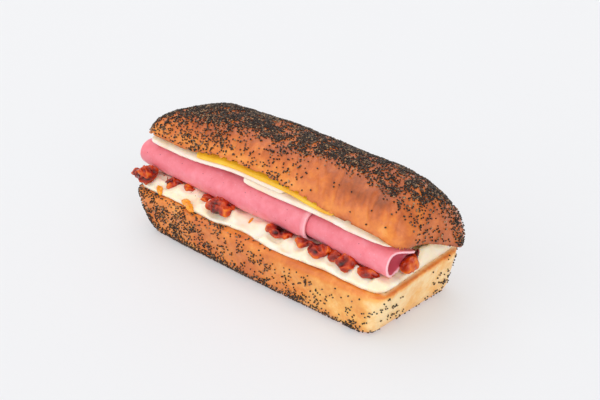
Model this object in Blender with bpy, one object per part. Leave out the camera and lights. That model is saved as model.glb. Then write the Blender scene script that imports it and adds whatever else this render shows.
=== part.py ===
"""A filled panini: a poppy-seed loaf slit along its front, spread with cream
cheese and filled with dried tomato, two ham rolls and three cheese slices.

Frame: +X runs along the loaf, the open side faces -Y, +Z is up, and the
origin is under the middle of the whole sandwich. Lengths are in millimetres;
mesh_object turns them into metres.
"""
import math
import random

import bmesh
import bpy
from mathutils import Matrix, Vector, noise

MM = 0.001
GAP = 0.35                      # air left between pieces that touch

# Bottom half of the loaf, baked in a tin: flat under, walls leaning out.
BASE_HEIGHT = 26.5
BASE_FOOT = (89.0, 36.6)        # half length and half width at the foot
BASE_RIM = (95.3, 38.8)         # the same at the rim of the cut
BASE_CORNER = 7.0               # radius of the upright corners
BASE_FOOT_ROUND = 4.0           # radius along the bottom edge
BASE_FRONT_BELLY = 3.4          # how far the open side swells
BASE_BELLY_SPAN = (-20.0, 72.0)  # x where it swells most, and its reach
BASE_FRONT_DRAW = 3.0           # the open side draws in towards the right rim
BASE_FRONT_ROLL = 3.2           # the crust rolls over along the open side's rim
BASE_LEFT_LEAN = 6.0            # extra lean of the left end
BASE_END_SKEW = 0.10            # the right end is not quite square
BASE_WAVE = (24.0, 1.6)         # length and height of the walls' unevenness

# Top half, leaning back over the filling.
TOP_LEFT = -101.5
TOP_RIGHT = 99.5
TOP_END_ROUND = 12.0            # radius that rounds off both ends
TOP_FRONT_EDGE = (-27.5, 58.4)  # y, z of the cut's front edge
TOP_BACK_EDGE = (35.0, 29.6)    # y, z of the cut's back edge
TOP_CROWN = 32.3                # height of the dome above the cut
TOP_ROUNDNESS = 0.86            # 1 is an ellipse, less is squarer
TOP_LEFT_FALL = (-50.0, 60.0, 0.74, 1.55)   # from x, over a length, share lost, power
TOP_RIGHT_FALL = (55.0, 44.0, 0.34, 2.0)
TOP_HUMP = (-44.0, 18.0, 0.035)  # x, reach and share of a low hump
TOP_WAVE = (26.0, 2.2)          # length and height of the crown's unevenness
TOP_ARCH = (8.0, 36.0)          # x and reach where the edge arches over the slices
TOP_HEAVE = (-14.0, 34.0, 3.2)  # x, reach and height of its rise over them
TOP_SAG = (-58.0, 12.0, 1.2)    # and of the dip to the left of them
TOP_HOLLOW = 5.0                # the soft crumb gives way over the filling
TOP_PRESSED = 5.2               # and more so where all three slices overlap
TOP_HOLLOW_SKEW = 0.58          # below 1 the hollow is deepest towards the back
TOP_DROOP = 3.2                 # how far the right front corner hangs down

# Filling.
CREAM_TOP = 30.6
CREAM_RISE = 11.0               # the cream is thicker towards the back
CREAM_EDGE_FALL = 1.6           # and thins out towards the rim
CREAM_WAVE = (17.0, 1.4)        # length and height of its unevenness
CREAM_CLEARANCE = 0.9           # below the upper half's cut face
HAM_AXIS = (-19.0, 41.0)        # y, z of the middle of both rolls
HAM_WALL = 1.6
HAM_RADIUS = 9.8
HAM_LEFT_END = -103.8
HAM_RIGHT_END = 92.3
CHEESE_THICK = 2.5
CHEESE_TILT = math.radians(30.0)
CHEESE_FRONT = -25.0            # y of the slices' front edges
CHEESE_BACK = 11.0              # y that no slice reaches past
CHEESE_DRAPE = 12.0             # width of the strip that droops past the ham
CHEESE_FRONT_HEIGHT = 50.9      # z of the front edges along most of the length

# Seeds that stand proud of the crust, at true size.
SEED_SIZE = (0.62, 0.50, 0.44)  # half length, half width, half height
SEED_SINK = 0.12
TOP_SEEDS = 100
BASE_SEEDS = 64
SEED_SPACING = 3.2
SEED_RANDOM = 11

CRUST = (0.78, 0.36, 0.13)
CREAM = (0.97, 0.90, 0.72)
HAM = (0.90, 0.38, 0.43)
WHITE_CHEESE = (0.98, 0.92, 0.82)
YELLOW_CHEESE = (0.98, 0.66, 0.08)
TOMATO = (0.45, 0.07, 0.02)
PEPPER = (0.95, 0.50, 0.06)


def clear_scene():
    for item in list(bpy.data.objects):
        bpy.data.objects.remove(item, do_unlink=True)


def material(name, colour, roughness):
    made = bpy.data.materials.get(name)
    if made is None:
        made = bpy.data.materials.new(name)
        made.use_nodes = True
        shader = made.node_tree.nodes["Principled BSDF"]
        shader.inputs["Base Color"].default_value = (*colour, 1.0)
        shader.inputs["Roughness"].default_value = roughness
        shader.inputs["Metallic"].default_value = 0.0
    return made


def smoothstep(low, high, value):
    share = min(1.0, max(0.0, (value - low) / (high - low)))
    return share * share * (3.0 - 2.0 * share)


def bump(middle, width, value):
    return math.exp(-((value - middle) / width) ** 2)


def ripple(x, y, z, scale, height, seed):
    """Smooth unevenness with hills about `scale` millimetres apart."""
    return height * noise.noise(Vector((x / scale + seed, y / scale, z / scale)))


# ---------------------------------------------------------------- mesh tools

def mesh_object(name, points, faces, made_of):
    mesh = bpy.data.meshes.new(name)
    mesh.from_pydata([Vector(p) * MM for p in points], [], faces)
    shell = bmesh.new()
    shell.from_mesh(mesh)
    bmesh.ops.triangulate(shell, faces=shell.faces)
    bmesh.ops.recalc_face_normals(shell, faces=shell.faces)
    shell.to_mesh(mesh)
    shell.free()
    mesh.materials.append(made_of)
    mesh.shade_smooth()
    mesh.set_sharp_from_angle(angle=math.radians(50.0))
    made = bpy.data.objects.new(name, mesh)
    bpy.context.scene.collection.objects.link(made)
    return made


def stack_rings(rings):
    """Skin rings of equal length in order and close both ends.

    Each ring starts at the middle of its right end and runs round so that
    point i faces point n-1-i across the ring, which lets strips close it.
    """
    count = len(rings[0])
    points = [p for ring in rings for p in ring]
    faces = []
    for level in range(len(rings) - 1):
        low, high = level * count, (level + 1) * count
        for i in range(count):
            j = (i + 1) % count
            faces.append((low + i, low + j, high + j, high + i))
    for first in (0, (len(rings) - 1) * count):
        for i in range(count // 2 - 1):
            faces.append((first + i, first + i + 1,
                          first + count - 2 - i, first + count - 1 - i))
    return points, faces


def rounded_rectangle(half_length, half_width, radius, along=14, across=5, turn=3):
    """Outline points, anticlockwise from just above the right end's middle."""
    def run(start, end, steps):
        return [start + (end - start) * i / steps for i in range(steps)]

    radius = min(radius, half_width * 0.98, half_length * 0.98)
    flat_x, flat_y = half_length - radius, half_width - radius
    quarter = []
    half_steps = across / 2.0
    for i in range(math.ceil(half_steps)):
        quarter.append((half_length, flat_y * (i + 0.5) / half_steps))
    for i in range(turn + 1):
        angle = math.pi / 2.0 * i / turn
        quarter.append((flat_x + radius * math.cos(angle),
                        flat_y + radius * math.sin(angle)))
    top = quarter + [(x, half_width) for x in run(flat_x, -flat_x, along)[1:]]
    left = [(-x, y) for x, y in reversed(quarter)]
    upper = top + left
    return upper + [(x, -y) for x, y in reversed(upper)]


# -------------------------------------------------------------- bottom half

def base_point(x, y, z):
    """Lean, belly and skew of the tin-baked walls at a height z."""
    rise = z / BASE_HEIGHT
    if y < 0:
        side = smoothstep(0.0, 30.0, -y)
        y -= (0.45 + 0.55 * rise) * BASE_FRONT_BELLY * bump(*BASE_BELLY_SPAN, x) * side
        y += smoothstep(45.0, 95.0, x) * BASE_FRONT_DRAW * rise * side
        roll = max(0.0, 1.0 - (BASE_HEIGHT - z) / BASE_FRONT_ROLL)
        y += BASE_FRONT_ROLL * (1.0 - math.sqrt(1.0 - 0.96 * roll ** 2)) * side
    if x > 0:
        x -= BASE_END_SKEW * y * (0.3 + 0.7 * rise)
    else:
        x += BASE_LEFT_LEAN * (0.6 - rise) * smoothstep(60.0, 88.0, -x)
    wave = ripple(x, y, z, *BASE_WAVE, 3.0) * smoothstep(0.0, 8.0, z)
    x += 0.5 * wave * (1 if x > 0 else -1) * smoothstep(60.0, 90.0, abs(x))
    y += wave * (1 if y > 0 else -1) * smoothstep(10.0, 34.0, abs(y))
    return (x, y, z)


def base_size(z):
    rise = z / BASE_HEIGHT
    return tuple(foot + (rim - foot) * rise for foot, rim in zip(BASE_FOOT, BASE_RIM))


def base_ring(z, inset):
    half_length, half_width = base_size(z)
    outline = rounded_rectangle(half_length - inset, half_width - inset,
                                max(BASE_CORNER - 0.7 * inset, 3.0))
    return [base_point(x, y, z) for x, y in outline]


def bottom_bun(crust):
    rings = [base_ring(0.0, 16.0)]
    for angle in (0.0, 30.0, 60.0):
        turn = math.radians(angle)
        rings.append(base_ring(BASE_FOOT_ROUND * (1.0 - math.cos(turn)),
                               BASE_FOOT_ROUND * (1.0 - math.sin(turn))))
    for z in (7.0, 14.0, BASE_HEIGHT - BASE_FRONT_ROLL, BASE_HEIGHT - 1.2):
        rings.append(base_ring(z, 0.0))
    rings.append(base_ring(BASE_HEIGHT - 0.35, 0.25))
    rings.append(base_ring(BASE_HEIGHT, 1.0))
    rings.append(base_ring(BASE_HEIGHT, 20.0))
    return mesh_object("bottom_bun", *stack_rings(rings), crust)


# ----------------------------------------------------------------- top half

def top_frame():
    """Middle of the cut, and the unit vectors across it and up from it."""
    front = Vector((0.0, *TOP_FRONT_EDGE))
    back = Vector((0.0, *TOP_BACK_EDGE))
    across = (back - front).normalized()
    up = Vector((1.0, 0.0, 0.0)).cross(across)
    return (front + back) / 2.0, across, up, (back - front).length / 2.0


def end_inset(x):
    """How far a cross-section draws in to round off the nearer end."""
    left = TOP_END_ROUND - min(TOP_END_ROUND, x - TOP_LEFT, TOP_RIGHT - x)
    return TOP_END_ROUND - math.sqrt(TOP_END_ROUND ** 2 - left ** 2)


def crown_share(x):
    """The dome is full height at mid length and sinks towards both ends."""
    left_start, left_reach, left_loss, left_power = TOP_LEFT_FALL
    right_start, right_reach, right_loss, right_power = TOP_RIGHT_FALL
    left = max(0.0, (left_start - x) / left_reach) ** left_power
    right = max(0.0, (x - right_start) / right_reach) ** right_power
    hump_x, hump_reach, hump_height = TOP_HUMP
    hump = hump_height * bump(hump_x, hump_reach, x)
    return 1.0 - left_loss * left - right_loss * right + hump


def front_edge_shift(x):
    """How the cut's front edge strays in y and z: arched over the slices."""
    arch = bump(*TOP_ARCH, x)
    heave_x, heave_reach, heave_height = TOP_HEAVE
    sag_x, sag_reach, sag_depth = TOP_SAG
    rise = 1.5 * arch + heave_height * bump(heave_x, heave_reach, x)
    fall = sag_depth * bump(sag_x, sag_reach, x) + 2.2 * smoothstep(20.0, 80.0, x)
    fall += TOP_DROOP * smoothstep(84.0, 97.0, x)
    return -0.9 * arch, rise - fall


def top_point(x, angle):
    """A point of the crust: angle 0 at the front edge of the cut, pi at the back."""
    middle, across, up, half_width = top_frame()
    half_width -= end_inset(x)
    crown = TOP_CROWN * crown_share(x) - end_inset(x)
    side, lift = math.cos(angle), math.sin(angle)
    v = -half_width * math.copysign(abs(side) ** TOP_ROUNDNESS, side)
    w = crown * lift ** TOP_ROUNDNESS
    point = middle + Vector((x, 0.0, 0.0)) + across * v + up * w
    shift_y, shift_z = front_edge_shift(x)
    front_share = smoothstep(-0.5, 1.0, side) * (1.0 - lift)
    point.y += shift_y * front_share
    point.z += shift_z * front_share
    point += up * ripple(x, v, w, *TOP_WAVE, 8.0) * lift
    return point


def cut_hollow(x, share):
    """How far the cut is pressed in, share 0 at its front edge and 1 at its back."""
    depth = TOP_HOLLOW + TOP_PRESSED * bump(0.0, 40.0, x)
    depth *= smoothstep(0.0, 12.0, x - TOP_LEFT) - 0.35 * smoothstep(80.0, 96.0, x)
    return depth * math.sin(math.pi * share ** TOP_HOLLOW_SKEW)


def cut_point(x, share):
    front, back = top_point(x, 0.0), top_point(x, math.pi)
    return front.lerp(back, share) + top_frame()[2] * cut_hollow(x, share)


def top_sections():
    """Stations along the loaf, closer together where the ends turn in."""
    turns = [math.radians(a) for a in (10.0, 32.0, 55.0, 80.0)]
    ends = [TOP_END_ROUND * (1.0 - math.cos(a)) for a in turns]
    first, last = TOP_LEFT + TOP_END_ROUND, TOP_RIGHT - TOP_END_ROUND
    middle = [first + (last - first) * i / 14 for i in range(15)]
    return [TOP_LEFT + d for d in ends] + middle + [TOP_RIGHT - d for d in reversed(ends)]


def top_bun(crust):
    round_steps, flat_steps = 15, 8
    rings = []
    for x in top_sections():
        ring = [top_point(x, math.pi * i / round_steps) for i in range(round_steps + 1)]
        ring += [cut_point(x, (1.0 - i / flat_steps) ** 1.5) for i in range(1, flat_steps)]
        rings.append(ring)
    points = [p for ring in rings for p in ring]
    count = len(rings[0])
    faces = []
    for level in range(len(rings) - 1):
        low, high = level * count, (level + 1) * count
        for i in range(count):
            j = (i + 1) % count
            faces.append((low + i, low + j, high + j, high + i))
    faces.append(tuple(range(count)))
    faces.append(tuple(range(len(points) - count, len(points))))
    return mesh_object("top_bun", points, faces, crust)


# -------------------------------------------------------------------- cream

def cut_height(x, y):
    """Height of the top half's cut over a place."""
    (front_y, front_z), (back_y, back_z) = TOP_FRONT_EDGE, TOP_BACK_EDGE
    share = min(1.0, max(0.0, (y - front_y) / (back_y - front_y)))
    front_z += min(0.0, front_edge_shift(x)[1])
    return front_z + share * (back_z - front_z) + 0.8 * cut_hollow(x, share)


def slice_rest(y):
    """Height of the lowest slice's underside where it lies flat: on the ham."""
    ham_y, ham_z = HAM_AXIS
    reach = HAM_RADIUS + GAP
    touch_y = ham_y + reach * math.sin(CHEESE_TILT)
    touch_z = ham_z + reach * math.cos(CHEESE_TILT)
    return touch_z + (touch_y - y) * math.tan(CHEESE_TILT)


def slice_front(x):
    """Height of the slices' front edge, which sags in front of the ham."""
    dips = 1.0 * bump(-66.0, 22.0, x) + 0.7 * bump(8.0, 14.0, x)
    right_end = 1.6 * smoothstep(46.0, 68.0, x) - 1.2 * smoothstep(78.0, 92.0, x)
    return CHEESE_FRONT_HEIGHT - dips - right_end


def slice_drape(x, y):
    """How far a slice hangs below its resting plane over the ham's front."""
    share = min(1.15, max(0.0, (CHEESE_FRONT + CHEESE_DRAPE - y) / CHEESE_DRAPE))
    front = (slice_rest(CHEESE_FRONT) - slice_front(x)) * share ** 2.6
    return front + 3.0 * smoothstep(74.0, 97.0, x) * (1.0 - min(share, 1.0) ** 2)


def cream_height(x, y):
    """The cream's top: thin at the rim, heaped up behind the ham and slices."""
    half_length, half_width = BASE_RIM
    from_rim = min(half_length - abs(x), half_width - cream_inlet(x, y) - abs(y))
    height = CREAM_TOP + ripple(x, y, 0.0, *CREAM_WAVE, 5.0)
    height -= CREAM_EDGE_FALL * (1.0 - smoothstep(0.0, 9.0, from_rim))
    height += CREAM_RISE * smoothstep(-13.0, 6.0, y)
    under_slices = slice_rest(min(y, CHEESE_BACK + 5.0)) - slice_drape(x, y) - 0.8
    under_slices += 12.0 * smoothstep(88.0, 91.0, x)
    return min(height, under_slices, cut_height(x, y) - CREAM_CLEARANCE)


def cream_inlet(x, y):
    """How far the cream stops short of the rim along the open side."""
    inlet = (1.0 + 3.0 * bump(-60.0, 10.0, x) + 4.4 * bump(-8.0, 13.0, x)
             + 1.2 * bump(60.0, 7.0, x) - 1.0 * bump(86.0, 12.0, x))
    return inlet * smoothstep(12.0, 34.0, -y)


def cream_ring(inset, z=None, drop=0.0):
    half_length, half_width = base_size(BASE_HEIGHT)
    outline = rounded_rectangle(half_length - inset, half_width - inset,
                                max(BASE_CORNER - 0.7 * inset, 2.0))
    ring = []
    for x, y in outline:
        x, y, _ = base_point(x, y, BASE_HEIGHT)
        y += cream_inlet(x, y)
        y += ripple(x, y, 0.0, 13.0, 1.0, 9.0) * smoothstep(20.0, 36.0, abs(y))
        ring.append((x, y, cream_height(x, y) - drop if z is None else z))
    return ring


def cream_spread(cream):
    floor = BASE_HEIGHT + GAP
    rings = [cream_ring(18.0, floor), cream_ring(1.6, floor), cream_ring(0.5, floor + 0.5),
             cream_ring(0.9, drop=0.5), cream_ring(3.0), cream_ring(7.0), cream_ring(12.0),
             cream_ring(17.0), cream_ring(22.0), cream_ring(27.0), cream_ring(33.0)]
    return mesh_object("cream_spread", *stack_rings(rings), cream)


# ---------------------------------------------------------------------- ham

def ham_ring(x, y, z, radius, squash=0.0, slant=0.0, tip=0.0):
    """One ring of the roll; slant cuts it aslope and tip draws out a corner."""
    ring = []
    count = 22
    for i in range(count):
        angle = 2.0 * math.pi * (i + 0.5) / count
        reach = radius * (1.0 + squash * math.cos(2.0 * angle))
        forward = slant * math.cos(angle - math.radians(170.0))
        forward += tip * bump(math.radians(50.0), 0.8, angle)
        ring.append((x + forward, y + reach * math.cos(angle), z + reach * math.sin(angle)))
    return ring


def ham_roll(name, stations, made_of):
    """A slice of ham rolled into a tube, open at both ends.

    stations: (x, y, z, radius, squash, slant, tip) along the roll.
    """
    outer = [ham_ring(*station) for station in stations]
    inner = [ham_ring(x, y, z, radius - HAM_WALL, *rest)
             for x, y, z, radius, *rest in reversed(stations)]
    rings = outer + inner
    count = len(rings[0])
    points = [p for ring in rings for p in ring]
    faces = []
    for level in range(len(rings)):
        low, high = level * count, ((level + 1) % len(rings)) * count
        for i in range(count):
            j = (i + 1) % count
            faces.append((low + i, low + j, high + j, high + i))
    return mesh_object(name, points, faces, made_of)


def ham_rolls(ham):
    y, z = HAM_AXIS
    left = [(HAM_LEFT_END, y, z + 0.6, HAM_RADIUS - 1.8, 0.04),
            (-98.0, y, z + 0.2, HAM_RADIUS - 0.9, 0.03),
            (-70.0, y, z + 0.2, HAM_RADIUS - 0.7),
            (-40.0, y, z, HAM_RADIUS - 0.2),
            (-10.0, y, z, HAM_RADIUS - 0.1),
            (20.0, y, z, HAM_RADIUS - 0.2),
            (36.0, y, z, HAM_RADIUS - 0.1)]
    inside = HAM_RADIUS - HAM_WALL - GAP - 0.45
    right = [(24.0, y, z, inside),
             (37.0, y, z, inside),
             (54.0, y, z, HAM_RADIUS - 1.0),
             (70.0, y, z, HAM_RADIUS - 0.3),
             (80.0, y - 0.3, z - 0.5, HAM_RADIUS - 0.8, 0.04),
             (86.5, y - 0.3, z - 1.0, HAM_RADIUS - 1.1, 0.06, 1.2, 3.0),
             (HAM_RIGHT_END, y - 0.3, z - 1.1, HAM_RADIUS - 1.1, 0.08, 2.2, 8.0)]
    return [ham_roll("ham_roll_left", left, ham),
            ham_roll("ham_roll_right", right, ham)]


# ------------------------------------------------------------------- cheese

def cheese_slice(name, left, right, front, made_of, lift, right_end=None):
    """A thin slice lying back over the ham, its front edge drooping a little.

    lift(x) is the height of whatever lies beneath the slice, and right_end(along)
    is how far its right end strays, front to back.
    """
    depth = (CHEESE_BACK - front) / math.cos(CHEESE_TILT)

    def place(u, v, w):
        along = v + depth / 2.0
        x = (left + right) / 2.0 + u
        if right_end and u > 0:
            x += right_end(along) * smoothstep(0.0, (right - left) / 2.0, u)
        y = front + along * math.cos(CHEESE_TILT)
        thick = w * (1.0 - 0.6 * smoothstep(74.0, 94.0, x))
        z = slice_rest(y) - slice_drape(x, y) + (thick + lift(x)) / math.cos(CHEESE_TILT)
        return (x, y, z)

    def ring(inset, w):
        outline = rounded_rectangle((right - left) / 2.0 - inset, depth / 2.0 - inset,
                                    max(2.6 - inset, 1.0), along=8, across=7, turn=2)
        return [place(u, v, w) for u, v in outline]

    edge, top = 0.4, CHEESE_THICK
    rings = [ring(inset, 0.0) for inset in (13.0, 8.0, 4.0, edge)]
    rings.append(ring(0.0, top / 2.0))
    rings += [ring(inset, top) for inset in (edge, 4.0, 8.0, 13.0)]
    return mesh_object(name, *stack_rings(rings), made_of)


def cheese_slices(white, yellow):
    step = CHEESE_THICK + GAP
    left_end = 16.5

    def over_right_slice(x):
        return step * smoothstep(-62.0, -18.0, x)

    def over_both(x):
        fall = step * smoothstep(left_end + 2.0, left_end + 22.0, x)
        return step + 0.25 + over_right_slice(x) - fall

    def torn_end(along):
        return 3.0 * smoothstep(0.0, 9.0, along) - 18.0 * smoothstep(12.0, 28.0, along)

    return [
        cheese_slice("white_cheese_right", -16.0, 93.0, CHEESE_FRONT - 0.5, white,
                     lambda x: 0.0, torn_end),
        cheese_slice("white_cheese_left", -96.5, left_end, CHEESE_FRONT - 0.1, white,
                     over_right_slice),
        cheese_slice("yellow_cheese", -55.0, 54.0, CHEESE_FRONT - 0.9, yellow, over_both),
    ]


# ------------------------------------------------------------------ tomatoes

# x, y of the middle; length, depth and height; turn about the upright in degrees
TOMATO_CHUNKS = [
    (-91.0, -34.0, 16.0, 9.5, 8.0, 20.0),
    (-81.5, -26.5, 9.0, 3.6, 2.2, 0.0),
    (-72.8, -29.5, 12.0, 7.0, 4.5, 5.0),
    (-59.0, -27.4, 10.5, 5.0, 2.6, 5.0),
    (-43.0, -29.5, 7.0, 5.5, 4.0, 0.0),
    (-27.5, -32.5, 17.0, 12.0, 8.0, 15.0),
    (17.0, -29.5, 13.0, 8.0, 6.0, 20.0),
    (35.5, -28.0, 9.5, 8.0, 6.5, 0.0),
    (47.8, -30.0, 11.5, 9.0, 7.0, 15.0),
    (58.0, -28.6, 6.5, 6.5, 6.0, 0.0),
    (68.3, -30.5, 10.0, 9.0, 7.5, 10.0),
    (80.8, -29.0, 11.0, 7.0, 5.0, -10.0),
    (94.6, -11.5, 5.4, 12.0, 5.5, 0.0),
]


def chunk_bed(x, y):
    """Where a chunk rests: clear of the cream, which is steeper at the right end."""
    return cream_height(x, y) + 1.1 + 0.8 * smoothstep(85.0, 92.0, x)


def keep_clear(point):
    """Push a point out of the ham and up off the cream."""
    x, y, z = point
    floor = chunk_bed(x, y)
    z = max(z, floor)
    ham_y, ham_z = HAM_AXIS
    off = Vector((y - ham_y, z - ham_z))
    reach = HAM_RADIUS + 1.2
    if off.length < reach and x < HAM_RIGHT_END - 2.0:
        y = ham_y + math.copysign(math.sqrt(max(reach ** 2 - (z - ham_z) ** 2, 0.0)), y - ham_y)
    return Vector((x, y, z))


def tomato_chunk(index, x, y, length, depth, height, turn, made_of):
    name = f"tomato_{index + 1:02d}"
    shell = bmesh.new()
    bmesh.ops.create_icosphere(shell, subdivisions=2, radius=1.0)
    spin = Matrix.Rotation(math.radians(turn), 3, "Z")
    points = []
    for vert in shell.verts:
        way = vert.co.normalized()
        swell = 1.0 + 0.30 * noise.noise(way * 1.7 + Vector((index * 5.3, 0.0, 0.0)))
        local = Vector((way.x * length / 2.0, way.y * depth / 2.0, way.z * height / 2.0)) * swell
        place = spin @ local + Vector((x, y, height / 2.0))
        place.z += chunk_bed(place.x, place.y)
        points.append(keep_clear(place))
    faces = [tuple(v.index for v in face.verts) for face in shell.faces]
    shell.free()
    return mesh_object(name, points, faces, made_of)


# ------------------------------------------------------------------- shreds

# Middle line of each shred, x and y of its two ends; width; how far the far end dips
PEPPER_SHREDS = [
    ((-80.0, -33.6), (-72.8, -38.2), 3.4, 1.6),
    ((-54.0, -35.2), (-42.8, -39.8), 4.4, 1.4),
    ((-6.8, -25.4), (-5.2, -30.4), 2.2, 0.0),
]


def pepper_shred(index, start, end, width, dip, made_of):
    """A thin flat strip lying on the cream, its far end over the rim."""
    start, end = Vector((*start, 0.0)), Vector((*end, 0.0))
    along = (end - start).normalized()
    across = Vector((-along.y, along.x, 0.0))
    rings = []
    for share, spread in ((0.0, 0.35), (0.15, 0.85), (0.5, 1.0), (0.85, 0.8), (1.0, 0.3)):
        middle = start.lerp(end, share)
        bed = max(cream_height(start.x, start.y), cream_height(middle.x, middle.y)) + 1.3
        middle.z = bed - dip * share ** 2
        ring = []
        for i in range(8):
            angle = math.pi * (i + 0.5) / 4.0
            ring.append(middle + across * (0.5 * width * spread * math.cos(angle))
                        + Vector((0.0, 0.0, 0.6 * math.sin(angle))))
        rings.append(ring)
    points = [p for ring in rings for p in ring]
    faces = []
    for low in range(0, len(points) - 8, 8):
        for i in range(8):
            j = (i + 1) % 8
            faces.append((low + i, low + j, low + 8 + j, low + 8 + i))
    faces.append(tuple(range(8)))
    faces.append(tuple(range(len(points) - 8, len(points))))
    return mesh_object(f"pepper_shred_{index + 1}", points, faces, made_of)


# -------------------------------------------------------------------- seeds

def crust_points(bun, count, density, spacing, draw):
    """Places on the crust, drawn evenly by area and thinned by density."""
    shell = bmesh.new()
    shell.from_mesh(bun.data)
    triangles = [([v.co / MM for v in f.verts], f.normal.copy()) for f in shell.faces]
    areas = [f.calc_area() for f in shell.faces]
    shell.free()
    chosen = []
    while len(chosen) < count:
        corners, normal = draw.choices(triangles, weights=areas)[0]
        a, b = sorted((draw.random(), draw.random()))
        place = corners[0] * a + corners[1] * (b - a) + corners[2] * (1.0 - b)
        if draw.random() > density(place, normal):
            continue
        if all((place - other).length > spacing for other, _ in chosen):
            chosen.append((place, normal))
    return chosen


def top_density(place, normal):
    if normal.z < -0.1:
        return 0.0
    middle, across, up, half_width = top_frame()
    above_cut = (place - middle).dot(up)
    if above_cut < 6.0:
        return 0.0
    return 0.15 + 0.85 * smoothstep(8.0, 22.0, above_cut)


def base_density(place, normal):
    if abs(normal.z) > 0.8 or place.z < 2.5 or place.z > BASE_HEIGHT - 4.0:
        return 0.0
    if place.x > 70.0 and normal.x > 0.5:
        return 0.2
    return 1.0 - 0.6 * smoothstep(4.0, 20.0, place.z)


def fuse_seeds(bun, places, draw):
    """Join flattened seeds to the crust with one Boolean union."""
    seeds = bpy.data.collections.new(bun.name + "_seeds")
    bpy.context.scene.collection.children.link(seeds)
    for place, normal in places:
        mesh = bpy.data.meshes.new("seed")
        mesh.materials.append(bun.data.materials[0])
        shell = bmesh.new()
        bmesh.ops.create_icosphere(shell, subdivisions=1, radius=1.0)
        lie = normal.to_track_quat("Z", "Y").to_matrix().to_4x4()
        turn = Matrix.Rotation(draw.uniform(0.0, math.pi), 4, "Z")
        size = Matrix.Diagonal((*(s * draw.uniform(0.9, 1.15) for s in SEED_SIZE), 1.0))
        stand = Matrix.Translation(place + normal * SEED_SINK)
        shell.transform(Matrix.Scale(MM, 4) @ stand @ lie @ turn @ size)
        shell.to_mesh(mesh)
        shell.free()
        seeds.objects.link(bpy.data.objects.new("seed", mesh))
    union = bun.modifiers.new("seeds", "BOOLEAN")
    union.operation = "UNION"
    union.operand_type = "COLLECTION"
    union.collection = seeds
    union.solver = "EXACT"
    with bpy.context.temp_override(object=bun, active_object=bun, selected_objects=[bun]):
        bpy.ops.object.modifier_apply(modifier="seeds")
    for seed in list(seeds.objects):
        bpy.data.objects.remove(seed, do_unlink=True)
    bpy.data.collections.remove(seeds)


# ----------------------------------------------------------------- assembly

def centre_on_box(pieces):
    """Move every mesh so the origin is under the middle of the whole box."""
    corners = [v.co for piece in pieces for v in piece.data.vertices]
    low = Vector(min(c[i] for c in corners) for i in range(3))
    high = Vector(max(c[i] for c in corners) for i in range(3))
    shift = Vector((-(low.x + high.x) / 2.0, -(low.y + high.y) / 2.0, -low.z))
    for piece in pieces:
        piece.data.transform(Matrix.Translation(shift))
        piece.data.update()


def build():
    clear_scene()
    draw = random.Random(SEED_RANDOM)
    crust = material("baked_crust", CRUST, 0.55)
    white = material("white_cheese", WHITE_CHEESE, 0.4)
    tomato = material("dried_tomato", TOMATO, 0.3)

    base = bottom_bun(crust)
    top = top_bun(crust)
    pieces = [base, top, cream_spread(material("cream_cheese", CREAM, 0.35))]
    pieces += ham_rolls(material("cooked_ham", HAM, 0.45))
    pieces += cheese_slices(white, material("yellow_cheese", YELLOW_CHEESE, 0.4))
    for index, chunk in enumerate(TOMATO_CHUNKS):
        pieces.append(tomato_chunk(index, *chunk, tomato))
    for index, shred in enumerate(PEPPER_SHREDS):
        pieces.append(pepper_shred(index, *shred, material("dried_pepper", PEPPER, 0.35)))
    fuse_seeds(top, crust_points(top, TOP_SEEDS, top_density, SEED_SPACING, draw), draw)
    fuse_seeds(base, crust_points(base, BASE_SEEDS, base_density, SEED_SPACING, draw), draw)
    centre_on_box(pieces)


build()
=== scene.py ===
import math

import bmesh
import bpy
import numpy as np
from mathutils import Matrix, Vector, noise
from mathutils.bvhtree import BVHTree
from mathutils.kdtree import KDTree


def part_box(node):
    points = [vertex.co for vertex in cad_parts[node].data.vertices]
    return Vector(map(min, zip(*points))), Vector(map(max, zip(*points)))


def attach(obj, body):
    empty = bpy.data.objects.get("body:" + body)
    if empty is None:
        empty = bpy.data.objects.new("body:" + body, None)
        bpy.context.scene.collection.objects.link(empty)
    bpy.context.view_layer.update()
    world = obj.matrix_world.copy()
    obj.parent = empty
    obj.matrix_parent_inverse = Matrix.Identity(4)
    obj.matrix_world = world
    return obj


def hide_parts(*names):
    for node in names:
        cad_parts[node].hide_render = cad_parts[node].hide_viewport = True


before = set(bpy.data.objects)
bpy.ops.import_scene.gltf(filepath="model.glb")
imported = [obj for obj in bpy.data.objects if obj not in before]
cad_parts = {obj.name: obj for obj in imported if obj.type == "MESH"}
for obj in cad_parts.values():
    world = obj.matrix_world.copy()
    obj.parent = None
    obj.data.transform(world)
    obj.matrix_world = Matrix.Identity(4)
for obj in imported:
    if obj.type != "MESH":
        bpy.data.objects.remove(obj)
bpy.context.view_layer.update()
bpy.context.scene.view_settings.view_transform = "Standard"

# ----------------------------------------------------- lower half of the roll
# A long white bread roll, split lengthways. The crust was brushed with egg, rolled in poppy
# seed and baked, so it is thin, orange and glossy; the cut face is open crumb. It stands on
# its flat underside and carries the filling.

MM = 0.001
WELD = 1e-6               # points nearer than this, in metres, are one point
SHARP = math.radians(55.0)      # an edge that turns more than this can stay crisp
FREEDOM_STEPS = 10        # how finely the freedom of points to ease is graded
NOISE_STEP = 7.31         # keeps the noise of two seeds apart
LOWER_SKIN = 0.9          # spacing of the points of the lower half, mm
LOWER_RIM = 25.6          # the crust ends here, where the knife went through
CUT_FRONT = -31.0         # the bare cut face reaches from here
CUT_BACK = 37.5           # to here across the roll,
CUT_END = 96.0            # and this far along it,
END_SKEW = 0.1            # less this much for each mm across, as the end is slanted


def spread_points(piece):
    """Every point of a piece, in mm."""
    points = np.empty(len(piece.data.vertices) * 3, np.float32)
    piece.data.vertices.foreach_get("co", points)
    return points.reshape(-1, 3).astype(float) / MM


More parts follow.
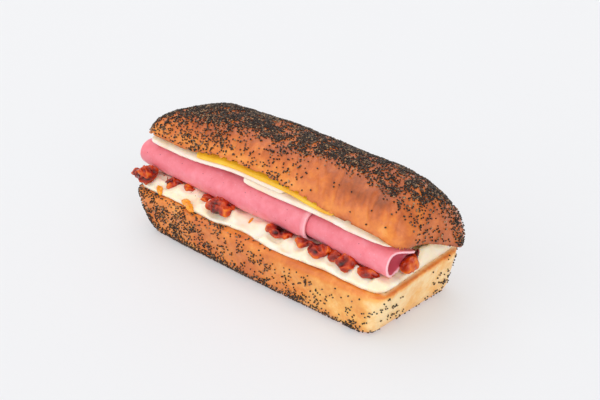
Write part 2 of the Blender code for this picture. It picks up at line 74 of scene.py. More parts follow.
def point_normals(piece):
    """The direction that each point of a piece faces."""
    normals = np.empty(len(piece.data.vertices) * 3, np.float32)
    piece.data.vertex_normals.foreach_get("vector", normals)
    return normals.reshape(-1, 3).astype(float)


def place_points(piece, points):
    """Put the points of a piece at these places, in mm."""
    piece.data.vertices.foreach_set("co", (points * MM).astype(np.float32).ravel())
    piece.data.update()


def mark(piece, name, values):
    """Store one number for each point, for the material to read."""
    layer = piece.data.attributes.new(name, "FLOAT", "POINT")
    layer.data.foreach_set("value", np.asarray(values, np.float32))


def wander(points, size, seed):
    """Soft noise from -1 to 1 with lumps about `size` mm across."""
    size = np.broadcast_to(np.asarray(size, float), 3)
    shifted = points / size + seed * NOISE_STEP
    return np.array([noise.noise(Vector(p)) for p in shifted])


def ease(low, high, value):
    t = np.clip((value - low) / (high - low), 0.0, 1.0)
    return t * t * (3.0 - 2.0 * t)


def apply_modifier(piece, name, kind, **settings):
    """Add a modifier with its settings to the active piece, and apply it."""
    made = piece.modifiers.new(name, kind)
    for key, value in settings.items():
        setattr(made, key, value)
    bpy.ops.object.modifier_apply(modifier=name)


def merged_copy(name, node, crease=None):
    """Copy a solid and merge its loose facets, with its sharp edges creased if asked."""
    piece = bpy.data.objects.new(name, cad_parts[node].data.copy())
    bpy.context.scene.collection.objects.link(piece)
    bpy.ops.object.select_all(action="DESELECT")
    piece.select_set(True)
    bpy.context.view_layer.objects.active = piece
    piece.data.materials.clear()
    bpy.ops.object.mode_set(mode="EDIT")
    bpy.ops.mesh.select_all(action="SELECT")
    bpy.ops.mesh.remove_doubles(threshold=WELD)
    if crease is not None:
        bpy.ops.mesh.tris_convert_to_quads(face_threshold=math.radians(50.0),
                                           shape_threshold=math.radians(60.0))
        bpy.ops.mesh.select_all(action="DESELECT")
        bpy.ops.mesh.select_mode(type="EDGE")
        bpy.ops.mesh.edges_select_sharp(sharpness=SHARP)
        bpy.ops.transform.edge_crease(value=crease)
    bpy.ops.object.mode_set(mode="OBJECT")
    return piece


def even_skin(name, node, voxel, rounds, settle=None, crease=None):
    """Copy a solid, knit its facets into an even skin of voxel mm and ease it.

    settle(points) returns the points, moved where needed, and how freely each may ease.
    With crease, the solid is first rounded, and its sharp edges are held that much.
    """
    piece = merged_copy(name, node, crease)
    if crease is not None:
        apply_modifier(piece, "rounding", "SUBSURF", levels=3, render_levels=3)
    apply_modifier(piece, "knit", "REMESH", mode="VOXEL", voxel_size=voxel * MM)
    free = np.ones(len(piece.data.vertices))
    if settle is not None:
        points, free = settle(spread_points(piece))
        place_points(piece, points)
    group = piece.vertex_groups.new(name="eased")
    for step in range(FREEDOM_STEPS + 1):
        chosen = np.nonzero(np.round(free * FREEDOM_STEPS) == step)[0]
        group.add(chosen.tolist(), step / FREEDOM_STEPS, "REPLACE")
    apply_modifier(piece, "soften", "SMOOTH", factor=0.5, iterations=rounds,
                   vertex_group="eased")
    piece.vertex_groups.clear()
    bpy.ops.object.shade_smooth()
    return piece


def tint(code):
    """A #RRGGBB colour as the linear values a shader works with."""
    parts = [int(code[i:i + 2], 16) / 255.0 for i in (1, 3, 5)]
    line = [p / 12.92 if p <= 0.04045 else ((p + 0.055) / 1.055) ** 2.4 for p in parts]
    return (*line, 1.0)


def add(tree, kind, inputs=None, stops=None, **settings):
    """Add a shader node with its settings, values and links, and its colour stops."""
    made = tree.nodes.new("ShaderNode" + kind)
    for key, value in settings.items():
        setattr(made, key, value)
    for key, value in (inputs or {}).items():
        if isinstance(value, bpy.types.NodeSocket):
            tree.links.new(value, made.inputs[key])
        else:
            made.inputs[key].default_value = value
    if stops:
        while len(made.color_ramp.elements) < len(stops):
            made.color_ramp.elements.new(1.0)
        for element, (at, colour) in zip(made.color_ramp.elements, stops):
            element.position = at
            element.color = tint(colour) if isinstance(colour, str) else (colour,) * 3 + (1.0,)
    return made


def finish_named(name):
    """A new material, its tree, its shader and the place of a point in metres."""
    made = bpy.data.materials.new(name)
    made.use_nodes = True
    tree = made.node_tree
    return made, tree, tree.nodes["Principled BSDF"], add(tree, "TexCoord").outputs["Object"]


def set_shader(shader, **values):
    """Set a shader's plain values; _ in a key stands for the space in its name."""
    for key, value in values.items():
        shader.inputs[key.replace("_", " ")].default_value = value


# Egg-washed wheat crust, baked: an orange skin that is darker where it faced the heat, with
# a soft gloss from the egg, and on the upper half painted shade along the wrinkles and painted
# highlight between them; under it, matt cream crumb full of small round holes, painted darker
# in their hollows as painted shade.
crust_finish, tree, shader, where = finish_named("egg_washed_crust")
# This mark holds the browning, and on the upper half also painted shade along the wrinkles and
# painted highlight between them.
bake_and_shade = add(tree, "Attribute", attribute_name="bake_and_shade").outputs["Fac"]
cut = add(tree, "Attribute", attribute_name="cut").outputs["Fac"]
clouds = add(tree, "TexNoise", {"Vector": where, "Scale": 1000 / 11, "Detail": 3.0}).outputs["Fac"]
mottle = add(tree, "TexNoise", {"Vector": where, "Scale": 1000 / 2.2, "Detail": 4.0,
                                "Roughness": 0.6}).outputs["Fac"]
shift = add(tree, "Math", {0: clouds, 1: 0.55, 2: bake_and_shade}, operation="MULTIPLY_ADD").outputs[0]
shift = add(tree, "Math", {0: mottle, 1: 0.30, 2: shift}, operation="MULTIPLY_ADD").outputs[0]
shift = add(tree, "Math", {0: shift, 1: 0.425}, operation="SUBTRACT").outputs[0]
skin = add(tree, "ValToRGB", {"Fac": shift}, stops=[
    (0.00, "#FBD9A0"), (0.20, "#F3B45F"), (0.42, "#E38530"), (0.58, "#CF6B25"),
    (0.76, "#B0541B"), (1.00, "#763812")]).outputs["Color"]
pores = add(tree, "TexVoronoi", {"Vector": where, "Scale": 1000 / 2.4},
            feature="SMOOTH_F1").outputs["Distance"]
# Darker at the middle of each pore, where the bump sinks it: painted shade in the holes.
crumb = add(tree, "ValToRGB", {"Fac": pores}, stops=[
    (0.0, "#C99F6A"), (0.35, "#EBD0A0"), (1.0, "#F6E6C4")]).outputs["Color"]
colour = add(tree, "Mix", {"Factor": cut, "A": skin, "B": crumb}, data_type="RGBA").outputs["Result"]
gloss = add(tree, "MapRange", {"Value": clouds, "To Min": 0.28, "To Max": 0.48}).outputs["Result"]
matt = add(tree, "Mix", {"Factor": cut, "A": gloss, "B": 0.85}, data_type="FLOAT").outputs["Result"]
grain = add(tree, "TexNoise", {"Vector": where, "Scale": 1000 / 0.9, "Detail": 3.0}).outputs["Fac"]
low = add(tree, "Bump", {"Height": grain, "Strength": 0.35, "Distance": 0.12 * MM}).outputs["Normal"]
holes = add(tree, "Math", {0: pores, 1: cut}, operation="MULTIPLY").outputs[0]
deep = add(tree, "Bump", {"Height": holes, "Strength": 0.8, "Distance": 0.9 * MM,
                          "Normal": low}).outputs["Normal"]
tree.links.new(colour, shader.inputs["Base Color"])
tree.links.new(matt, shader.inputs["Roughness"])
tree.links.new(deep, shader.inputs["Normal"])
set_shader(shader, IOR=1.45, Subsurface_Weight=0.12, Subsurface_Scale=1.2 * MM,
           Subsurface_Radius=(1.0, 0.5, 0.25), Coat_Weight=0.22, Coat_Roughness=0.22)


def hold_rim(points):
    """Let the rim of the cut ease less than the rest, so it stays fairly crisp."""
    return points, 1.0 - 0.7 * ease(LOWER_RIM - 1.2, LOWER_RIM, points[:, 2])


lower = even_skin("roll_lower_half", "bottom_bun", LOWER_SKIN, rounds=60, settle=hold_rim)
points = spread_points(lower)
normals = point_normals(lower)
lower_cut = ease(0.8, 0.95, normals[:, 2]) * ease(LOWER_RIM - 0.6, LOWER_RIM, points[:, 2])
lower_cut *= (ease(CUT_FRONT, CUT_FRONT + 3.0, points[:, 1])
              * ease(CUT_BACK, CUT_BACK - 1.5, points[:, 1]))
lower_cut *= ease(CUT_END, CUT_END - 3.0, points[:, 0] + END_SKEW * points[:, 1])
# The dough rose unevenly: low swells with small lumps on them. The crumb is rough.
swell = 0.45 * wander(points, 16.0, 1) + 0.30 * wander(points, (5.0, 5.0, 3.6), 2)
swell *= (1.0 - lower_cut) * ease(0.0, 5.0, points[:, 2])
points += normals * swell[:, None]
points[:, 2] += 0.35 * wander(points, 2.6, 3) * lower_cut
points[:, 2] = np.maximum(points[:, 2], 0.0)
place_points(lower, points)
# The crust is palest at the right end, and browner at the rim and along the foot.
x, z = points[:, 0], points[:, 2]
lower_bake = 0.46 + 0.05 * ease(-60.0, -10.0, x) - 0.26 * ease(0.0, 80.0, x)
lower_bake -= 0.25 * ease(86.0, 98.0, x)
lower_bake += 0.20 * ease(22.0, 25.5, z) * ease(10.0, 60.0, x)
lower_bake += 0.26 * ease(24.8, 25.9, z) * ease(90.0, 96.0, x)
lower_bake += 0.18 * ease(3.0, 0.0, z)
mark(lower, "bake_and_shade", lower_bake)
mark(lower, "cut", lower_cut)
lower.data.materials.append(crust_finish)
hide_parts("bottom_bun")
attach(lower, "root")

# ----------------------------------------- poppy seed on the lower half's crust
# Whole blue-black poppy seed, kidney shaped and about 1.2 mm long. It stuck to the wet dough
# before baking, thickest along the foot and the left, and lies flat on the crust.

SEED_HALF = (0.61, 0.47, 0.38)      # half length, width and height, mm
SEED_SIZES = (0.85, 1.15)           # share of that, from the smallest to the largest
SEED_STAND = 0.16                   # a seed's middle stands this far off the crust, mm
SEED_TIP = 0.28                     # how much seeds lean
SEED_RING = 6                       # points round a seed
SEED_LIMIT = 8300                   # seeds joined in one mesh
MOST_SEEDS = 4.0                    # for each square mm


def seed_shape():
    """One kidney-shaped seed of 24 triangles."""
    points = [(0.0, 0.0, -1.0), (0.0, 0.0, 1.0)]
    for height in (-0.5, 0.5):
        for step in range(SEED_RING):
            angle = 2.0 * math.pi * (step + (0.5 if height > 0 else 0.0)) / SEED_RING
            points.append((0.87 * math.cos(angle), 0.87 * math.sin(angle), height))
    faces = []
    for step in range(SEED_RING):
        after = (step + 1) % SEED_RING
        low, low_next = 2 + step, 2 + after
        high, high_next = 2 + SEED_RING + step, 2 + SEED_RING + after
        faces += [(0, low_next, low), (low, low_next, high), (high, low_next, high_next),
                  (1, high, high_next)]
    points = np.array(points)
    # Both ends bend the same way, as a kidney does.
    points[:, 1] -= 0.35 * points[:, 0] ** 2 - 0.15
    return points * np.array(SEED_HALF), np.array(faces)


def crust_faces(piece):
    """Middle, normal and area of every face of a piece, in mm."""
    count = len(piece.data.polygons)
    middle = np.empty(count * 3, np.float32)
    normal = np.empty(count * 3, np.float32)
    area = np.empty(count, np.float32)
    piece.data.polygons.foreach_get("center", middle)
    piece.data.polygons.foreach_get("normal", normal)
    piece.data.polygons.foreach_get("area", area)
    return middle.reshape(-1, 3) / MM, normal.reshape(-1, 3).astype(float), area / MM ** 2


def strewn(piece, thickness, spacing, draw):
    """Places and normals of seeds, by seeds per square mm, none nearer than spacing."""
    middle, normal, area = crust_faces(piece)
    wanted = draw.poisson(np.clip(thickness(middle, normal), 0.0, MOST_SEEDS) * area)
    index = np.repeat(np.arange(len(area)), wanted)
    draw.shuffle(index)
    side = np.cross(normal[index], (0.37, 0.61, 0.70))
    side /= np.linalg.norm(side, axis=1, keepdims=True)
    across = np.cross(normal[index], side)
    reach = np.sqrt(area[index])[:, None]
    spots = middle[index] + (side * draw.uniform(-0.5, 0.5, (len(index), 1))
                             + across * draw.uniform(-0.5, 0.5, (len(index), 1))) * reach
    taken = {}
    kept = []
    for i, spot in enumerate(spots):
        cell = tuple(int(math.floor(c / spacing)) for c in spot)
        near = (taken.get((cell[0] + a, cell[1] + b, cell[2] + c))
                for a in (-1, 0, 1) for b in (-1, 0, 1) for c in (-1, 0, 1))
        if all(j is None or np.sum((spots[j] - spot) ** 2) > spacing ** 2 for j in near):
            taken[cell] = i
            kept.append(i)
    return spots[kept], normal[index[kept]]


def seed_mesh(name, spots, normals, pile, draw):
    """Join seeds that lie on the crust, each turned and tipped its own way."""
    shape, faces = seed_shape()
    count = len(spots)
    side = np.cross(normals, draw.normal(size=(count, 3)))
    side /= np.linalg.norm(side, axis=1, keepdims=True)
    up = normals + SEED_TIP * draw.normal(size=(count, 3))
    up /= np.linalg.norm(up, axis=1, keepdims=True)
    across = np.cross(up, side)
    across /= np.linalg.norm(across, axis=1, keepdims=True)
    side = np.cross(across, up)
    size = draw.uniform(*SEED_SIZES, (count, 1, 1))
    grown = shape[None] * size
    points = (grown[..., 0:1] * side[:, None] + grown[..., 1:2] * across[:, None]
              + grown[..., 2:3] * up[:, None])
    stand = SEED_STAND + draw.uniform(0.0, pile, (count, 1))
    points += (spots + normals * stand)[:, None]
    corners = (faces[None] + (np.arange(count) * len(shape))[:, None, None]).ravel()
    mesh = bpy.data.meshes.new(name)
    mesh.vertices.add(count * len(shape))
    mesh.vertices.foreach_set("co", (points.reshape(-1) * MM).astype(np.float32))
    mesh.loops.add(len(corners))
    mesh.loops.foreach_set("vertex_index", corners.astype(np.int32))
    mesh.polygons.add(len(corners) // 3)
    mesh.polygons.foreach_set("loop_start", np.arange(0, len(corners), 3, dtype=np.int32))
    mesh.update(calc_edges=True)
    mesh.shade_smooth()
    piece = bpy.data.objects.new(name, mesh)
    bpy.context.scene.collection.objects.link(piece)
    mark(piece, "shade", np.repeat(draw.uniform(0.0, 1.0, count), len(shape)))
    return piece


def sow(name, crust, thickness, spacing, pile, draw, node):
    """Strew seeds over a crust and join them in as many meshes as they need."""
    spots, normals = strewn(crust, thickness, spacing, draw)
    parts = max(1, math.ceil(len(spots) / SEED_LIMIT))
    for part in range(parts):
        seeds = seed_mesh("%s_%d" % (name, part + 1), spots[part::parts], normals[part::parts],
                          pile, draw)
        seeds.data.materials.append(seed_finish)
        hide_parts(node)
        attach(seeds, "root")


# Poppy seed, toasted with the bread: nearly black with a blue bloom, some grey-brown, and a
# dull netted skin that catches a small soft light.
seed_finish, tree, shader = finish_named("toasted_poppy_seed")[:3]
shade = add(tree, "Attribute", attribute_name="shade").outputs["Fac"]
skin = add(tree, "ValToRGB", {"Fac": shade}, stops=[
    (0.0, "#18110E"), (0.45, "#31261F"), (0.74, "#4E3E33"), (0.90, "#7C624E"),
    (1.0, "#B6936B")]).outputs["Color"]
tree.links.new(skin, shader.inputs["Base Color"])
set_shader(shader, IOR=1.38, Roughness=0.45)


def lower_seeds(middle, normal):
    """Seeds per square mm on the lower crust."""
    x, y, z = middle.T
    clump = ease(-0.2, 0.4, wander(middle, (9.0, 9.0, 6.0), 11))
    fine = ease(-0.3, 0.5, wander(middle, 3.2, 12))
    curl = ease(0.34, 0.10, np.abs(wander(middle, 4.5, 13)))
    left = ease(30.0, -75.0, x)
    amount = 0.12 + 0.32 * left + (0.95 + 0.80 * left) * clump * (0.2 + 0.8 * curl)
    amount = (0.85 * amount + 0.30 * left * curl) * (0.35 + 0.8 * fine)
    amount *= 0.30 + 1.15 * ease(-0.35, 0.30, wander(middle, (13.0, 13.0, 9.0), 14))
    foot = ease(9.0, 2.0, z) * (0.30 + 0.70 * ease(75.0, 15.0, x))
    amount += 1.90 * foot * (0.35 + clump)
    slope = z + 0.5 * (x + 62.0)
    amount += 0.55 * ease(12.0, 2.0, np.abs(slope - 6.0)) * ease(-40.0, -58.0, x) * fine
    rim = ease(21.5, 24.5, z)
    amount *= 1.0 - rim * ease(-25.0, 35.0, x)
    amount += 0.35 * rim * ease(-70.0, -80.0, x)
    end = ease(0.3, 0.8, normal[:, 0])
    amount *= 1.0 - end
    amount += 1.3 * end * clump * curl * fine * ease(8.0, 26.0, np.abs(y - 2.0))
    crust = (1.0 - ease(0.90, 0.98, normal[:, 2]) * ease(-36.5, -34.0, y)) * ease(0.6, 1.2, z)
    return amount * crust


sow("poppy_seed_lower", lower, lower_seeds, spacing=0.66, pile=0.2,
    draw=np.random.default_rng(5), node="bottom_bun")

# ------------------------------------------------------------- cream cheese
# Soft white cheese with a few herbs, spread on the cut crumb with a knife. It is thickest
# in the middle, shows the strokes of the knife and bulges at the rim.

CREAM_SKIN = 0.8          # spacing of the points of the cream cheese, mm

# Cream cheese, spread: a dense warm white that light sinks into, with a moist sheen.
cream_finish, tree, shader, where = finish_named("cream_cheese_spread")
clouds = add(tree, "TexNoise", {"Vector": where, "Scale": 1000 / 9, "Detail": 3.0}).outputs["Fac"]
skin = add(tree, "ValToRGB", {"Fac": clouds}, stops=[
    (0.3, "#FBE5C4"), (0.55, "#FEEED7"), (0.8, "#FFF5E6")]).outputs["Color"]
herbs = add(tree, "TexVoronoi", {"Vector": where, "Scale": 1000 / 6.0}).outputs["Distance"]
specks = add(tree, "ValToRGB", {"Fac": herbs}, stops=[(0.0, 1.0), (0.05, 1.0), (0.075, 0.0)]
             ).outputs["Color"]
colour = add(tree, "Mix", {"Factor": specks, "A": skin, "B": tint("#9C8B4E")},
             data_type="RGBA").outputs["Result"]
grain = add(tree, "TexNoise", {"Vector": where, "Scale": 1000 / 1.6, "Detail": 2.0}).outputs["Fac"]
low = add(tree, "Bump", {"Height": grain, "Strength": 0.25, "Distance": 0.2 * MM}).outputs["Normal"]
tree.links.new(colour, shader.inputs["Base Color"])
tree.links.new(low, shader.inputs["Normal"])
set_shader(shader, IOR=1.44, Roughness=0.34, Subsurface_Weight=0.6, Subsurface_Scale=3.5 * MM,
           Subsurface_Radius=(1.0, 0.75, 0.45), Coat_Weight=0.15, Coat_Roughness=0.2)

tomato_nodes = sorted(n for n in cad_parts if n.startswith("tomato_"))
cream = even_skin("cream_cheese_layer", "cream_spread", CREAM_SKIN, rounds=6, crease=0.0)
points = spread_points(cream)
normals = point_normals(cream)
top_side = ease(-0.1, 0.5, normals[:, 2])
# The knife left long waves and finer strokes on top.
strokes = 1.5 * wander(points, (13.0, 9.0, 9.0), 21) + 0.9 * wander(points, (7.0, 5.0, 5.0), 22)
strokes += 0.16 * wander(points, (5.0, 1.6, 2.0), 23)
# The cream is squeezed up in a ring round each piece of tomato, and heaped at the front.
from_chunk = np.full(len(points), 9.0)
for node in tomato_nodes:
    low_corner, high_corner = (np.array(corner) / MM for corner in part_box(node))
    middle, half = 0.5 * (low_corner + high_corner), 0.5 * (high_corner - low_corner)
    reach = np.hypot(*((points[:, :2] - middle[:2]) / (half[:2] + 0.6)).T)
    from_chunk = np.minimum(from_chunk, reach)
strokes += 0.7 * np.exp(-((from_chunk - 1.15) / 0.35) ** 2)
strokes += 2.0 * ease(-33.0, -26.0, points[:, 1]) * ease(-14.0, -20.0, points[:, 1])
points += normals * (strokes * top_side)[:, None]
# It laps over the rim at the front, sags there, and stops short of the slanted right end.
lap = ease(-0.2, -0.7, normals[:, 1]) * ease(31.0, 29.0, points[:, 2])
points[:, 1] -= lap * (0.5 + 1.1 * wander(points, (10.0, 30.0, 30.0), 24))
points[:, 2] -= 0.6 * ease(29.5, 27.0, points[:, 2])
points[:, 0] -= 2.2 * ease(80.0, 97.0, points[:, 0] + END_SKEW * points[:, 1])
place_points(cream, points)
cream.data.materials.append(cream_finish)
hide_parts("cream_spread")
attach(cream, "root")

# ------------------------------------------------- dried tomato and pepper
# Pieces of dried tomato in oil, torn by hand and pressed into the cream, and thin shreds of
# yellow pepper. Drying drew the flesh into ridges and left it dark red; on the tomato the
# ridges and lobes are painted orange as painted highlight, the creases dark as painted shade.

LEFT_CHUNK = -80.0        # the tomato left of this sticks out at the left end
RIGHT_CHUNK = 90.0        # the one right of this stands beside the open end of the ham


def torn_piece(name, node, grow, move, ridges, seed):
    """Copy a solid, round it, tear its outline and press it in place.

    grow is a share for each axis, move is in mm, and ridges scales lobes, folds and nicks.
    """
    piece = merged_copy(name, node)
    apply_modifier(piece, "rounding", "SUBSURF", levels=4, render_levels=4)
    points = spread_points(piece)
    normals = point_normals(piece)
    middle = points.mean(axis=0)
    lobes = wander(points, 4.6, seed)
    fold = 1.0 - 3.0 * np.abs(wander(points, (3.6, 2.4, 3.0), seed + 1))
    fine = 1.0 - 3.0 * np.abs(wander(points, (1.8, 1.2, 1.4), seed + 2))
    points = middle + (points - middle) * grow + move
    points += normals * (ridges * (3.8 * lobes + 1.2 * fold + 0.22 * fine))[:, None]
    place_points(piece, points)
    bpy.ops.object.shade_smooth()
    # Ridges and lobes get painted highlight (orange), creases get painted shade (dark red).
    mark(piece, "ridge_highlight_crease_shade", 0.22 + 0.20 * fold + 0.50 * lobes)
    return piece


# Dried tomato, kept in oil: translucent dark red flesh under a wet gloss, painted orange on
# its ridges as painted highlight and dark red in its creases as painted shade.
tomato_finish, tree, shader, where = finish_named("dried_tomato_in_oil")
ridge_highlight_crease_shade = add(tree, "Attribute", attribute_name="ridge_highlight_crease_shade").outputs["Fac"]
strands = add(tree, "TexNoise", {"Vector": where, "Scale": 1000 / 3.2, "Detail": 2.0}).outputs["Fac"]
tone = add(tree, "Math", {0: strands, 1: 0.5, 2: ridge_highlight_crease_shade}, operation="MULTIPLY_ADD").outputs[0]
skin = add(tree, "ValToRGB", {"Fac": tone}, stops=[
    (0.2, "#3E0501"), (0.45, "#8E1701"), (0.68, "#C23A02"), (1.0, "#F08214")]).outputs["Color"]
low = add(tree, "Bump", {"Height": strands, "Strength": 0.3, "Distance": 0.4 * MM}).outputs["Normal"]
tree.links.new(skin, shader.inputs["Base Color"])
tree.links.new(low, shader.inputs["Normal"])
set_shader(shader, IOR=1.36, Roughness=0.2, Subsurface_Weight=0.1, Subsurface_Scale=1.2 * MM,
           Subsurface_Radius=(1.0, 0.2, 0.05), Coat_Weight=0.3, Coat_Roughness=0.03)


def tomato_fit(low_x, high_x):
    """How a tomato piece grows, moves and ridges, by where it lies along the roll."""
    if high_x < LEFT_CHUNK:
        return (1.05, 1.05, 1.0), (0.0, 0.3, -0.3), 0.8
    if low_x > RIGHT_CHUNK:
        return (1.3, 1.05, 1.6), (-1.2, 3.2, 2.0), 0.5
    grow = (1.05, 1.2, 1.0) if high_x < 0.0 else (1.35, 1.35, 0.98)
    return grow, (0.0, 2.2, -1.2), 0.5      # pressed in, partly under the ham


for index, node in enumerate(tomato_nodes):
    low_corner, high_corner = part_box(node)
    grow, move, ridges = tomato_fit(low_corner.x / MM, high_corner.x / MM)
    tomato = torn_piece("dried_" + node, node, grow, move, ridges, 40 + 4 * index)
    tomato.data.materials.append(tomato_finish)
    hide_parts(node)
    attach(tomato, "root")

# Dried yellow pepper in oil: thin, clear orange-yellow flesh with a wet gloss.
pepper_finish, tree, shader, where = finish_named("dried_yellow_pepper")
strands = add(tree, "TexNoise", {"Vector": where, "Scale": 1000 / 2.0, "Detail": 3.0}).outputs["Fac"]
skin = add(tree, "ValToRGB", {"Fac": strands}, stops=[
    (0.3, "#E5860C"), (0.55, "#F6A615"), (0.8, "#FFC233")]).outputs["Color"]
tree.links.new(skin, shader.inputs["Base Color"])
set_shader(shader, IOR=1.46, Roughness=0.28, Subsurface_Weight=0.3, Subsurface_Scale=1.5 * MM,
           Subsurface_Radius=(1.0, 0.6, 0.2), Coat_Weight=0.4, Coat_Roughness=0.1)
pepper_nodes = sorted(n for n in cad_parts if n.startswith("pepper_"))
for index, node in enumerate(pepper_nodes):
    shred = torn_piece("dried_" + node, node, (1.1, 1.1, 1.1), (0.0, 0.1, -0.1), 0.25,
                       110 + 4 * index)
    shred.data.materials.append(pepper_finish)
    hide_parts(node)
    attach(shred, "root")

# ------------------------------------------------------------- rolls of ham
# Two slices of cooked ham rolled into tubes. The right one starts inside the left one, and
# its outer end opens as a ring with a pale cut edge.

SLICE_SKIN = 0.5          # spacing of the points of the ham and the cheese, mm

# Cooked ham, pressed and sliced: pink, moist and slightly clear, with paler grains of fat,
# small dark pits and a soft wet sheen. The inside of each roll is painted a deeper pink, as
# painted shade.
ham_finish, tree, shader, where = finish_named("cooked_ham_slice")
edge = add(tree, "Attribute", attribute_name="edge").outputs["Fac"]
inside_shade = add(tree, "Attribute", attribute_name="inside_shade").outputs["Fac"]
clouds = add(tree, "TexNoise", {"Vector": where, "Scale": 1000 / 7, "Detail": 4.0,
                                "Roughness": 0.6}).outputs["Fac"]
skin = add(tree, "ValToRGB", {"Fac": clouds}, stops=[
    (0.3, "#E97682"), (0.55, "#F08693"), (0.8, "#F59AA6")]).outputs["Color"]
fat = add(tree, "TexVoronoi", {"Vector": where, "Scale": 1000 / 3.1}).outputs["Distance"]
flecks = add(tree, "ValToRGB", {"Fac": fat}, stops=[(0.0, 0.25), (0.10, 0.2), (0.18, 0.0)]
             ).outputs["Color"]
skin = add(tree, "Mix", {"Factor": flecks, "A": skin, "B": tint("#FBC0C4")},
           data_type="RGBA").outputs["Result"]
pits = add(tree, "TexVoronoi", {"Vector": where, "Scale": 1000 / 4.8}).outputs["Distance"]
dark = add(tree, "ValToRGB", {"Fac": pits}, stops=[(0.0, 1.0), (0.045, 1.0), (0.07, 0.0)]
           ).outputs["Color"]
skin = add(tree, "Mix", {"Factor": dark, "A": skin, "B": tint("#A04558")},
           data_type="RGBA").outputs["Result"]
# The inside of each roll is painted a deeper pink: painted shade.
skin = add(tree, "Mix", {"Factor": inside_shade, "A": skin, "B": tint("#EC7588")},
           data_type="RGBA").outputs["Result"]
colour = add(tree, "Mix", {"Factor": edge, "A": skin, "B": tint("#FFC3CB")},
             data_type="RGBA").outputs["Result"]
grain = add(tree, "TexNoise", {"Vector": where, "Scale": 1000 / 1.1, "Detail": 3.0}).outputs["Fac"]
low = add(tree, "Bump", {"Height": grain, "Strength": 0.3, "Distance": 0.12 * MM}).outputs["Normal"]
tree.links.new(colour, shader.inputs["Base Color"])
tree.links.new(low, shader.inputs["Normal"])
set_shader(shader, IOR=1.44, Roughness=0.36, Subsurface_Weight=0.3, Subsurface_Scale=2.0 * MM,
           Subsurface_Radius=(1.0, 0.4, 0.35), Coat_Weight=0.12, Coat_Roughness=0.15)

for side in ("left", "right"):
    node = "ham_roll_" + side
    low_corner, high_corner = (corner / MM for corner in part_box(node))
    ham = even_skin("ham_" + side, node, SLICE_SKIN, rounds=4, crease=0.7)
    points = spread_points(ham)
    normals = point_normals(ham)
    slack = 0.35 * wander(points, (26.0, 12.0, 12.0), 31) + 0.10 * wander(points, 6.0, 32)
    points += normals * slack[:, None]
    off_y = points[:, 1] - 0.5 * (low_corner.y + high_corner.y)
    off_z = points[:, 2] - 0.5 * (low_corner.z + high_corner.z)
    outward = normals[:, 1] * off_y + normals[:, 2] * off_z
    end = high_corner.x
    pale_edge = ease(0.2, 0.55, np.abs(normals[:, 0]))
    if side == "right":
        # Its open end springs back towards the far side, so the ring there is wide.
        spring = np.clip(np.cos(np.arctan2(off_z + 3.0, off_y)), 0.0, 1.0) ** 2
        points[:, 1] += 5.0 * spring * ease(end - 18.0, end - 3.0, points[:, 0])
    else:
        # Its end flares a little round the right roll and shows as a paler band.
        band = ease(end - 4.0, end - 1.5, points[:, 0])
        flare = 0.05 * band * ease(-2.0, 2.0, outward)
        points[:, 1] += off_y * flare
        points[:, 2] += off_z * flare
        pale_edge = np.maximum(pale_edge, 0.35 * band)
    place_points(ham, points)
    mark(ham, "edge", pale_edge)
    # The inner faces of the roll, for the painted shade there.
    mark(ham, "inside_shade", ease(0.0, -3.0, outward))
    ham.data.materials.append(ham_finish)
    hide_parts(node)
    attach(ham, "root")

# ---------------------------------------------------------- slices of cheese
# Two slices of white cheese laid over the ham and one of yellow cheese on top of them, cut
# 2.5 mm thick. They are soft enough to droop over the ham at the front.

for kind, name, pale, mid, deep_tone, nodes in (
        ("white", "mild_white_cheese", "#FFF6EA", "#FEEEDD", "#F8E0C4",
         ("white_cheese_right", "white_cheese_left")),
        ("yellow", "young_yellow_cheese", "#FFD23C", "#FFC628", "#F9B21E", ("yellow_cheese",))):
    # Semi-hard cheese, sliced: even and slightly clear, with a greasy soft gloss.
    cheese_finish, tree, shader, where = finish_named(name)
    clouds = add(tree, "TexNoise", {"Vector": where, "Scale": 1000 / 10, "Detail": 3.0}
                 ).outputs["Fac"]
    skin = add(tree, "ValToRGB", {"Fac": clouds}, stops=[
        (0.25, deep_tone), (0.5, mid), (0.75, pale)]).outputs["Color"]
    grain = add(tree, "TexNoise", {"Vector": where, "Scale": 1000 / 1.8, "Detail": 2.0}
                ).outputs["Fac"]
    low = add(tree, "Bump", {"Height": grain, "Strength": 0.2, "Distance": 0.1 * MM}
              ).outputs["Normal"]
    tree.links.new(skin, shader.inputs["Base Color"])
    tree.links.new(low, shader.inputs["Normal"])
    set_shader(shader, IOR=1.45, Roughness=0.32, Subsurface_Weight=0.35,
               Subsurface_Scale=2.5 * MM, Subsurface_Radius=(1.0, 0.75, 0.4),
               Coat_Weight=0.15, Coat_Roughness=0.15)
    for node in nodes:
        slice_ = even_skin("slice_of_" + node, node, SLICE_SKIN, rounds=4, crease=0.3)
        points = spread_points(slice_)
        normals = point_normals(slice_)
        points += normals * (0.12 * wander(points, 9.0, 51))[:, None]
        place_points(slice_, points)
        slice_.data.materials.append(cheese_finish)
        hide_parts(node)
        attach(slice_, "root")

# ----------------------------------------------------- upper half of the roll
# The other half of the same roll, leaning back on the filling. Its crown was dipped in poppy
# seed, which lies thick on top and thins out down the front; the crust below is bare, shiny
# and finely wrinkled.

UPPER_SKIN = 0.8          # spacing of the points of the upper half, mm
CUT_FACING = Vector((0.0, -0.42, -0.91))     # the way the upper cut face looks
LIP_TURN = math.radians(45.0)   # the lip turns more than this,
LIP_SHORTEST = 1.5        # and each of its edges is longer than this, mm
LIP_SPOTS = 40            # places kept along each of those edges
LIP_CATCH = 0.9           # points nearer to the lip than this are drawn onto it, mm


